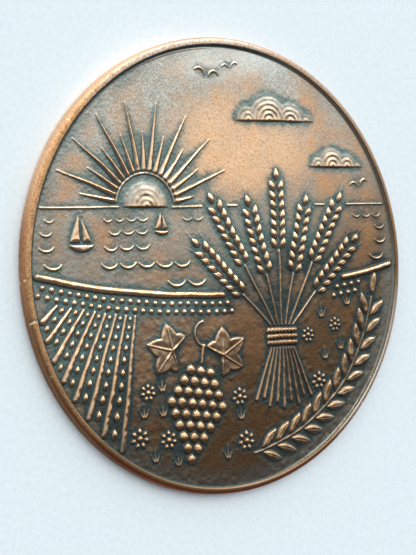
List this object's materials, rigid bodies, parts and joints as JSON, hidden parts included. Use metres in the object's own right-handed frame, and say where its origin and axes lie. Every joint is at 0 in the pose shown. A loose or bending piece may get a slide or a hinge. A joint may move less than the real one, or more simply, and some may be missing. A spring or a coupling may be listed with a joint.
{
  "type": "copper table medal",
  "caption": "Thin round struck copper medal with a raised rim, a relief of a harvest by the sea on the obverse, and a plain recessed reverse.",
  "frame": {"origin": "centre of the reverse, on the plane that the medal lies on", "axes": "+Z out of the obverse, +Y to the top of the picture, +X to its right"},
  "size_m": [0.06, 0.06, 0.0017],
  "materials": {
    "medal": "struck copper with a dark patina, rubbed bright on the raised parts"
  },
  "bodies": {
    "root": {"medal": "medal"}
  },
  "joints": []
}
